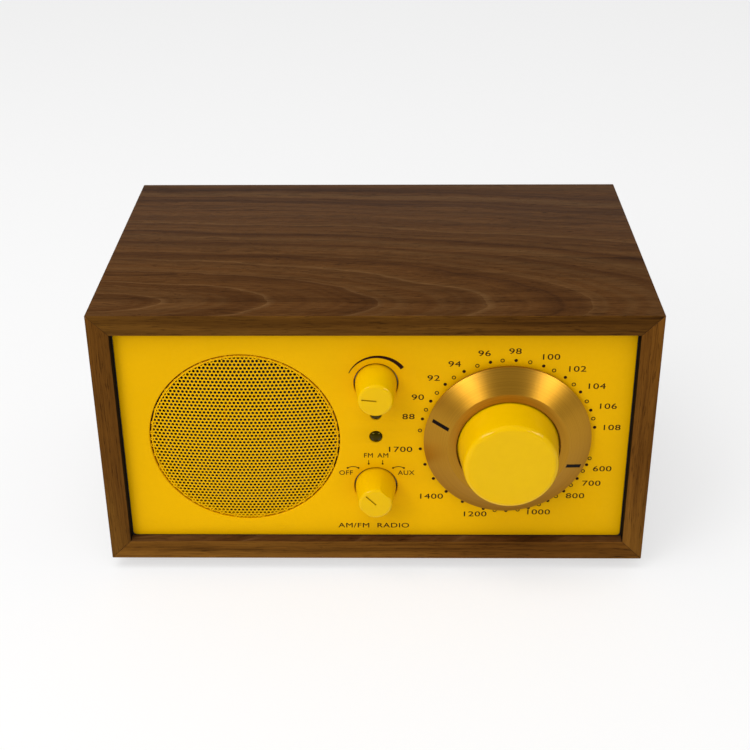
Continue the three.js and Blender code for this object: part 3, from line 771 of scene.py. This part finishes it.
def flatten(bm, reach, flat):
    """Cuts two slanting flats that are deepest at the front and run out at the base."""
    tilt = math.atan((8.1 - flat) / reach)
    for side in (-1, 1):
        point = Vector((0, -reach * MM, side * flat * MM))
        normal = Vector((0, -math.sin(tilt), side * math.cos(tilt)))
        geom = bm.verts[:] + bm.edges[:] + bm.faces[:]
        cut = bmesh.ops.bisect_plane(bm, geom=geom, plane_co=point, plane_no=normal, dist=1e-7,
                                     clear_outer=True)
        edges = [item for item in cut["geom_cut"] if isinstance(item, bmesh.types.BMEdge)]
        rim = [edge for edge in edges if edge.is_boundary]
        bmesh.ops.holes_fill(bm, edges=rim, sides=0)
    face_out(bm)
    return bm


def make_knobs():
    for node, body, front, pointer, flats in (("volume_knob", "volume", 6.6, 174.4, None),
                                              ("source_knob", "source", 6.46, 135.0, 5.65)):
        finish_piece(f"{node}_polished", small_knob(node, front, pointer, flats), [YELLOW_ABS, GROOVE_SHADE_ABS],
                     [node], sharp=28, body=body)
    node = "tuning_knob"
    front = (low(node).y - FACE_Y) / MM
    profile = rounded([(0, front), (17.6, front, 2.3), (19.65, -4.2, 0.3), (19.3, -3.8), (3.2, -3.8),
                       (3.2, front + 4), (0, front + 4)], 10)
    tuning = place_at(turn_profile(profile, 144), on_face(node))
    finish_piece("tuning_knob_polished", tuning, [YELLOW_ABS], [node], sharp=28,
                 body="tuning")


# ---- Printing on the face ----
# The scale's marks, each with its angle in degrees from the right.
FM_MARKS = {87: 174.5, 88: 165.6, 89: 158.4, 90: 151.3, 91: 144.1, 92: 135.9, 93: 128.5, 94: 120.7,
            95: 111.4, 96: 102.8, 97: 95.0, 98: 86.4, 99: 77.3, 100: 68.2, 101: 60.7, 102: 51.7, 103: 44.0,
            104: 36.8, 105: 28.5, 106: 21.3, 107: 14.7, 108: 8.0}
AM_MARKS = {1700: -171.5, 1600: -159.0, 1500: -146.5, 1400: -133.0, 1300: -119.2, 1200: -103.9,
            1150: -96.1, 1100: -88.5, 1050: -80.6, 1000: -73.3, 950: -65.8, 900: -59.2, 850: -52.9,
            800: -46.4, 750: -39.9, 700: -33.4, 650: -26.6, 600: -21.2, 550: -16.0}
MARK_RADIUS = 33.8  # mm
INK_FILM = 0.03  # mm that the ink stands above the enamel


def ink_disc(radius, inner=0.0):
    """A printed dot, or a printed ring where it has an inner radius."""
    profile = [(inner, -INK_FILM), (radius, -INK_FILM), (radius, 0.1), (inner, 0.1)]
    return turn_profile(profile, 20, closed=inner > 0)


def make_scale_marks():
    dial = on_face("dial_ring")
    marks = bmesh.new()
    for number, degrees in [*FM_MARKS.items(), *AM_MARKS.items()]:
        step = 2 if number < 200 else 100
        dot = ink_disc(0.66) if number % step == 0 else ink_disc(0.82, 0.46)
        angle = math.radians(degrees)
        offset = Vector((math.cos(angle), 0, math.sin(angle))) * MARK_RADIUS * MM
        add_shape(marks, place_at(dot, dial + offset))
    finish_piece("scale_marks", marks, [INK])


def lettering(words, size, x, z, wide, bold=0.04):
    """Flat letters centred on a point of the face, in mm, widened as an extended typeface is."""
    text = bpy.data.curves.new("text", "FONT")
    text.body = words
    text.size = size * MM
    text.align_x = "CENTER"
    text.align_y = "CENTER"
    text.space_character = 1.08
    # The bevel thickens the strokes on each side.
    half_depth = 0.08
    text.bevel_depth = bold * MM
    text.extrude = (half_depth - bold) * MM
    text.bevel_resolution = 0
    mesh = curve_mesh(text)
    place = Matrix.Translation((x * MM, FACE_Y + (half_depth - INK_FILM) * MM, z * MM))
    mesh.transform(place @ UPRIGHT @ Matrix.Diagonal((wide, 1, 1, 1)))
    return mesh


def make_numbers():
    """Numbers round the scale: each is at its mark's angle, a little further out where it is wider."""
    floor = CABINET_LOW.z / MM
    places = {"88": (12.8, 63.5), "90": (16.3, 72.0), "92": (22.2, 80.3), "94": (30.0, 86.3),
              "96": (41.1, 90.8), "98": (52.6, 91.7), "100": (65.8, 89.3), "102": (75.9, 84.2),
              "104": (83.7, 76.8), "106": (88.6, 68.1), "108": (90.7, 58.7), "600": (88.6, 40.0),
              "700": (84.8, 33.3), "800": (78.8, 27.4), "1000": (64.4, 19.7), "1200": (39.2, 18.7),
              "1400": (21.7, 27.1), "1700": (9.4, 48.8)}
    numbers = bmesh.new()
    for words, (x, z) in places.items():
        numbers.from_mesh(lettering(words, 3.35, x, floor + z, 1.42))
    finish_piece("scale_numbers", numbers, [INK])


def ink_stroke(points, widths):
    """A printed line through (x, z) points in mm whose width may change along it."""
    bm = bmesh.new()
    sides = []
    for index, (x, z) in enumerate(points):
        before = Vector(points[max(index - 1, 0)])
        after = Vector(points[min(index + 1, len(points) - 1)])
        across = (after - before).normalized()
        normal = Vector((-across.y, across.x)) * widths[index] / 2
        pair = [Vector((x, z)) + normal, Vector((x, z)) - normal]
        sides.append([bm.verts.new((p.x * MM, FACE_Y - INK_FILM * MM, p.y * MM)) for p in pair])
    for here, there in zip(sides, sides[1:]):
        bm.faces.new((here[0], there[0], there[1], here[1]))
    deepen(bm, bm.faces[:], 0.1 * MM)
    face_out(bm)
    return bm


def arc(x, z, radius, start, end, steps=24):
    angles = [math.radians(start + (end - start) * step / steps) for step in range(steps + 1)]
    return [(x + radius * math.cos(a), z + radius * math.sin(a)) for a in angles]


def make_legends():
    floor = CABINET_LOW.z / MM
    legends = bmesh.new()

    def add_dot(radius, x, z):
        add_shape(legends, place_at(ink_disc(radius), Vector((x * MM, FACE_Y, z * MM))))

    for words, x, z in (("FM", -2.7, 46.05), ("AM", 3.0, 46.05), ("OFF", -11.6, 38.1),
                        ("AUX", 12.0, 38.1)):
        legends.from_mesh(lettering(words, 2.9, x, floor + z, 1.03, 0.075))
    legends.from_mesh(lettering("AM/FM  RADIO", 3.1, -0.8, floor + 13.2, 1.3))
    # A line with a dot under each band's name, and a bracket with a dot at each end inside OFF and AUX.
    for x in (-2.65, 2.8):
        add_shape(legends, ink_stroke([(x, floor + 43.95), (x, floor + 42.3)], [0.3, 0.3]))
        add_dot(0.38, x, floor + 42.3)
    for x in (-8.8, 9.0):
        bracket = arc(x, floor + 37.0, 4.0, 58, 122)
        add_shape(legends, ink_stroke(bracket, [0.32] * len(bracket)))
        for end in (bracket[0], bracket[-1]):
            add_dot(0.4, *end)
    # The crescent over the volume knob grows from left to right.
    knob = on_face("volume_knob") / MM
    crescent = arc(knob.x + 0.5, knob.z - 0.3, 11.75, 156, 36, 40)
    widths = [0.3 + 1.3 * step / 40 for step in range(41)]
    add_shape(legends, ink_stroke(crescent, widths))
    finish_piece("face_legends", legends, [INK])


# ---- Back ----
SOCKET_HOLE = 5.7  # mm, radius
SOCKET_BARREL = 5.4  # mm, radius of what goes through the hole


def make_rear_panel():
    outlines = [node_outline("rear_panel", 1.0), outline_round("mains_inlet", 9.8, 6.5, 0.6)]
    for node in ("dc_jack", "aux_jack", "headphone_jack", "antenna_connector"):
        outlines.append(circle_at(node, SOCKET_HOLE, 48))
    # The slot leaves room for the button's travel, to the left of where it rests.
    slider = centre("antenna_switch_slider") / MM
    outlines.append(box_outline(slider.x - 7.3, slider.x + 3.3, slider.z - 2.4, slider.z + 2.4, 0.5))
    mesh = plate_mesh("back", outlines, low("rear_panel").y, REAR_Y, 0.4)
    finish_piece("rear_panel_moulded", mesh, [BLACK_ABS], ["rear_panel"])


def pan_head_screw(radius):
    """A screw's head facing the back, with its cross recess drawn as a black cross of painted shade."""
    head = rounded([(0, 1.6), (radius * 0.55, 1.55, 2.0), (radius, 0.7, 0.5), (radius, 0)])
    bm = turn_profile([*head, (0, 0)], 40)
    for turn in (20, 110):
        slot = block(Vector((radius * 1.1, 0.5, 0.55)) * MM, (0, 0, 0), 0.08, 1)
        # The cross is coloured black as the painted shade of the recess.
        for face in slot.faces:
            face.material_index = 1
        add_shape(bm, place_at(slot, Vector((0, 1.39 * MM, 0)), facing(turn)))
    return bm


def make_rear_screws():
    box_low, box_high = low("rear_panel"), high("rear_panel")
    inset = 6 * MM
    screws = bmesh.new()
    for x in (box_low.x + inset, (box_low.x + box_high.x) / 2, box_high.x - inset):
        for z in (box_low.z + inset, box_high.z - inset):
            add_shape(screws, place_at(pan_head_screw(3.0), Vector((x, REAR_Y, z))))
    finish_piece("rear_panel_screws", screws, [BLACK_OXIDE, BLACK_PAINT_AND_RECESS_SHADE], sharp=35)


def round_socket(node, bore):
    """A flanged socket with a deep round bore, open towards the back."""
    inside, back = past_back(node)
    profile = rounded([(0, inside), (SOCKET_BARREL, inside), (SOCKET_BARREL, 0.3), (7.3, 0.3, 0.1),
                       (7.3, back, 0.5), (bore + 0.9, back, 0.3), (bore, back - 0.9, 0.2),
                       (bore, back - 9), (0, back - 9)])
    return place_at(turn_profile(profile, 72), on_back(node))


def make_sockets():
    """Two sound jacks with a metal sleeve in the bore, and a power jack with a pin in it."""
    for node, bore, contact in (("aux_jack", 1.75, "sleeve"), ("headphone_jack", 1.75, "sleeve"),
                                ("dc_jack", 2.9, "pin")):
        finish_piece(f"{node}_socket", round_socket(node, bore), [SMOOTH_ABS], [node],
                     sharp=30)
        back = past_back(node)[1]
        if contact == "pin":
            bm = turn_profile(rounded([(0, back - 9.2), (1.0, back - 9.2), (1.0, back - 1.5, 0.5),
                                       (0, back - 1.5)]), 32)
        else:
            bm = turn_profile([(bore, back - 2.5), (1.95, back - 2.5), (1.95, back - 0.9),
                               (bore, back - 0.9)], 40, closed=True)
        finish_piece(f"{node}_{contact}", place_at(bm, on_back(node)), [NICKEL],
                     sharp=30)


def make_antenna_connector():
    """A turned coaxial stub with a rolled thread, a hexagon nut and a white insulator at its contact."""
    node = "antenna_connector"
    inside, tip = past_back(node)
    crest, root, pitch = 4.75, 4.35, 0.8
    thread = []
    depth = 2.6
    while depth < tip - pitch:
        thread += [(crest, depth), (crest, depth + 0.3), (root, depth + 0.6)]
        depth += pitch
    profile = [(0, inside), (SOCKET_BARREL, inside), (SOCKET_BARREL, 0.3), (root, 0.3), *thread,
               (4.4, tip - 0.5), (4.1, tip), (3.6, tip), (3.6, tip - 5), (0, tip - 5)]
    bm = turn_profile(profile, 72)
    nut = bmesh.new()
    bmesh.ops.create_circle(nut, cap_ends=True, segments=6, radius=7.9 * MM, matrix=UPRIGHT)
    deepen(nut, nut.faces[:], 1.9 * MM)
    bmesh.ops.translate(nut, vec=(0, 0.3 * MM, 0), verts=nut.verts)
    face_out(nut)
    soften(nut, 0.25)
    add_shape(bm, nut)
    place_at(bm, on_back(node))
    finish_piece("antenna_connector_threaded", bm, [NICKEL], [node], sharp=25)
    plug = turn_profile(rounded([(0, tip - 1.6), (0.6, tip - 1.6), (0.9, tip - 0.9),
                                 (3.5, tip - 0.9, 0.2), (3.5, tip - 5), (0, tip - 5)]), 40)
    place_at(plug, on_back(node))
    finish_piece("antenna_insulator", plug, [WHITE_NYLON], sharp=30)


def make_mains_inlet():
    """A two-pole inlet: a flanged housing round a deep figure-eight well with two round pins."""
    node = "mains_inlet"
    middle = centre(node) / MM
    mouth = high(node).y / MM
    well_depth = 14
    well = []
    for side in (1, -1):
        well += arc(middle.x + side * 3.2, middle.z, 4.1, -90 * side, 180 - 90 * side, 16)
    barrel = outline_round(node, 9.4, 6.1, 0.6)
    bm = bmesh.new()
    for name, outlines, front, back, edge in (
        ("flange", [node_outline(node, 2.0), well], REAR_Y + 0.3 * MM, mouth * MM, 0.25),
        ("sleeve", [barrel, well], (mouth - well_depth) * MM, REAR_Y + 0.5 * MM, 0.1),
        ("floor", [barrel], low(node).y, (mouth - well_depth + 0.1) * MM, 0.1),
    ):
        bm.from_mesh(plate_mesh(name, outlines, front, back, edge))
    finish_piece("mains_inlet_housing", bm, [SMOOTH_ABS], [node], sharp=30)
    pins = bmesh.new()
    for side in (-1, 1):
        pin = turn_profile(rounded([(0, -14.5), (1.2, -14.5), (1.2, -3.4, 0.6), (0, -3.4)]), 32)
        add_shape(pins, place_at(pin, Vector((middle.x + side * 4.3, mouth, middle.z)) * MM))
    finish_piece("mains_inlet_pins", pins, [NICKEL], sharp=30)


def make_slider():
    """The aerial switch's button, with ribs across its end for grip and a guide inside the panel."""
    node = "antenna_switch_slider"
    middle, inside, outside = centre(node), low(node).y, high(node).y
    bm = block((6 * MM, outside - inside, 4 * MM), middle, 0.3, 3)
    for step in (-1, 0, 1):
        where = Vector((middle.x + step * 1.4 * MM, outside - 0.1 * MM, middle.z))
        add_shape(bm, block(Vector((0.6, 0.2, 3.4)) * MM, where, 0.08))
    depth = low("rear_panel").y - 0.3 * MM - inside
    where = Vector((middle.x, inside + depth / 2, middle.z))
    add_shape(bm, block((12 * MM, depth, 8 * MM), where, 0.2))
    finish_piece("antenna_switch_button", bm, [SMOOTH_ABS], [node], sharp=30,
                 body="antenna_switch")


# ---- CAD nodes that keep their shape ----
INNER_FINISHES = {
    GEAR_BRASS: ["sun_gear", "planet_gear_1", "planet_gear_2", "planet_gear_3"],
    ZINC: ["control_plate", "tuning_spindle", "planet_carrier", "volume_shaft", "source_shaft",
           "speaker_top_plate", "speaker_yoke"],
    DARK_STEEL: ["speaker_basket", "transformer_core"],
    NICKEL: ["tuning_capacitor", "volume_potentiometer", "volume_nut", "source_switch", "source_nut",
             "wireless_module"],
    BLACK_ABS: ["rod_holder", "ring_gear", "filter_capacitor_1", "filter_capacitor_2"],
    RUBBER: ["speaker_surround", "speaker_gasket"],
    PAPER: ["speaker_cone", "dust_cap"],
    SPIDER: ["speaker_spider"],
    FERRITE: ["speaker_magnet", "ferrite_rod"],
    COPPER: ["voice_coil", "transformer_coil", "antenna_coil"],
    BOARD: ["tuner_board", "main_board"],
    BARE_ALUMINIUM: ["heatsink"],
}


def finish_inner_nodes():
    for material, nodes in INNER_FINISHES.items():
        for node in nodes:
            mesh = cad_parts[node].data
            mesh.materials.clear()
            mesh.materials.append(material)


# ---- Stage ----
def make_stage():
    """A pale floor that glows a little, so it stays near white and still takes soft shadows."""
    material = start_material("pale_floor", {
        "Roughness": 0.7, "Base Color": "#A0A0A0", "Specular IOR Level": 0.1,
        "Emission Color": "#FFFFFF", "Emission Strength": 0.62,
    })[0]
    bm = bmesh.new()
    bmesh.ops.create_grid(bm, x_segments=1, y_segments=1, size=4.0)
    floor = add_object("floor", mesh_from(bm, "floor"))
    floor.data.materials.append(material)


def soft_light(name, place, size, power, diffuse=True, glossy=True):
    """A softbox aimed at the radio. It may light surfaces, show in their gloss, or both."""
    data = bpy.data.lights.new(name, "AREA")
    data.shape = "RECTANGLE"
    data.size, data.size_y = size
    data.energy = power
    light = add_object(name, data)
    light.location = place
    light.rotation_euler = (Vector((0, 0, 0.05)) - Vector(place)).to_track_quat("-Z", "Y").to_euler()
    light.visible_diffuse = diffuse
    light.visible_glossy = glossy


def make_light():
    world = bpy.data.worlds.new("studio")
    world.use_nodes = True
    background = world.node_tree.nodes["Background"]
    background.inputs["Color"].default_value = (1, 1, 1, 1)
    background.inputs["Strength"].default_value = 0.48
    bpy.context.scene.world = world
    soft_light("key_softbox", (-0.9, -1.1, 0.85), (0.7, 0.6), 7, glossy=False)
    soft_light("top_softbox", (-0.25, -0.45, 1.3), (1.0, 0.8), 9.5, glossy=False)
    soft_light("left_glint", (-0.87, -0.80, 0.82), (1.05, 0.35), 13, diffuse=False)
    soft_light("right_glint", (1.01, -0.72, 0.72), (0.95, 0.3), 9.5, diffuse=False)
    bpy.context.scene.view_settings.view_transform = "Standard"


make_camera()
make_cabinet()
make_bottom_board()
make_feet()
make_bass_port()
make_face_panel()
make_gap_shadow_strip()
make_grille()
make_lamps()
make_dial_ring()
make_knobs()
make_scale_marks()
make_numbers()
make_legends()
make_rear_panel()
make_rear_screws()
make_sockets()
make_antenna_connector()
make_mains_inlet()
make_slider()
finish_inner_nodes()
make_stage()
make_light()
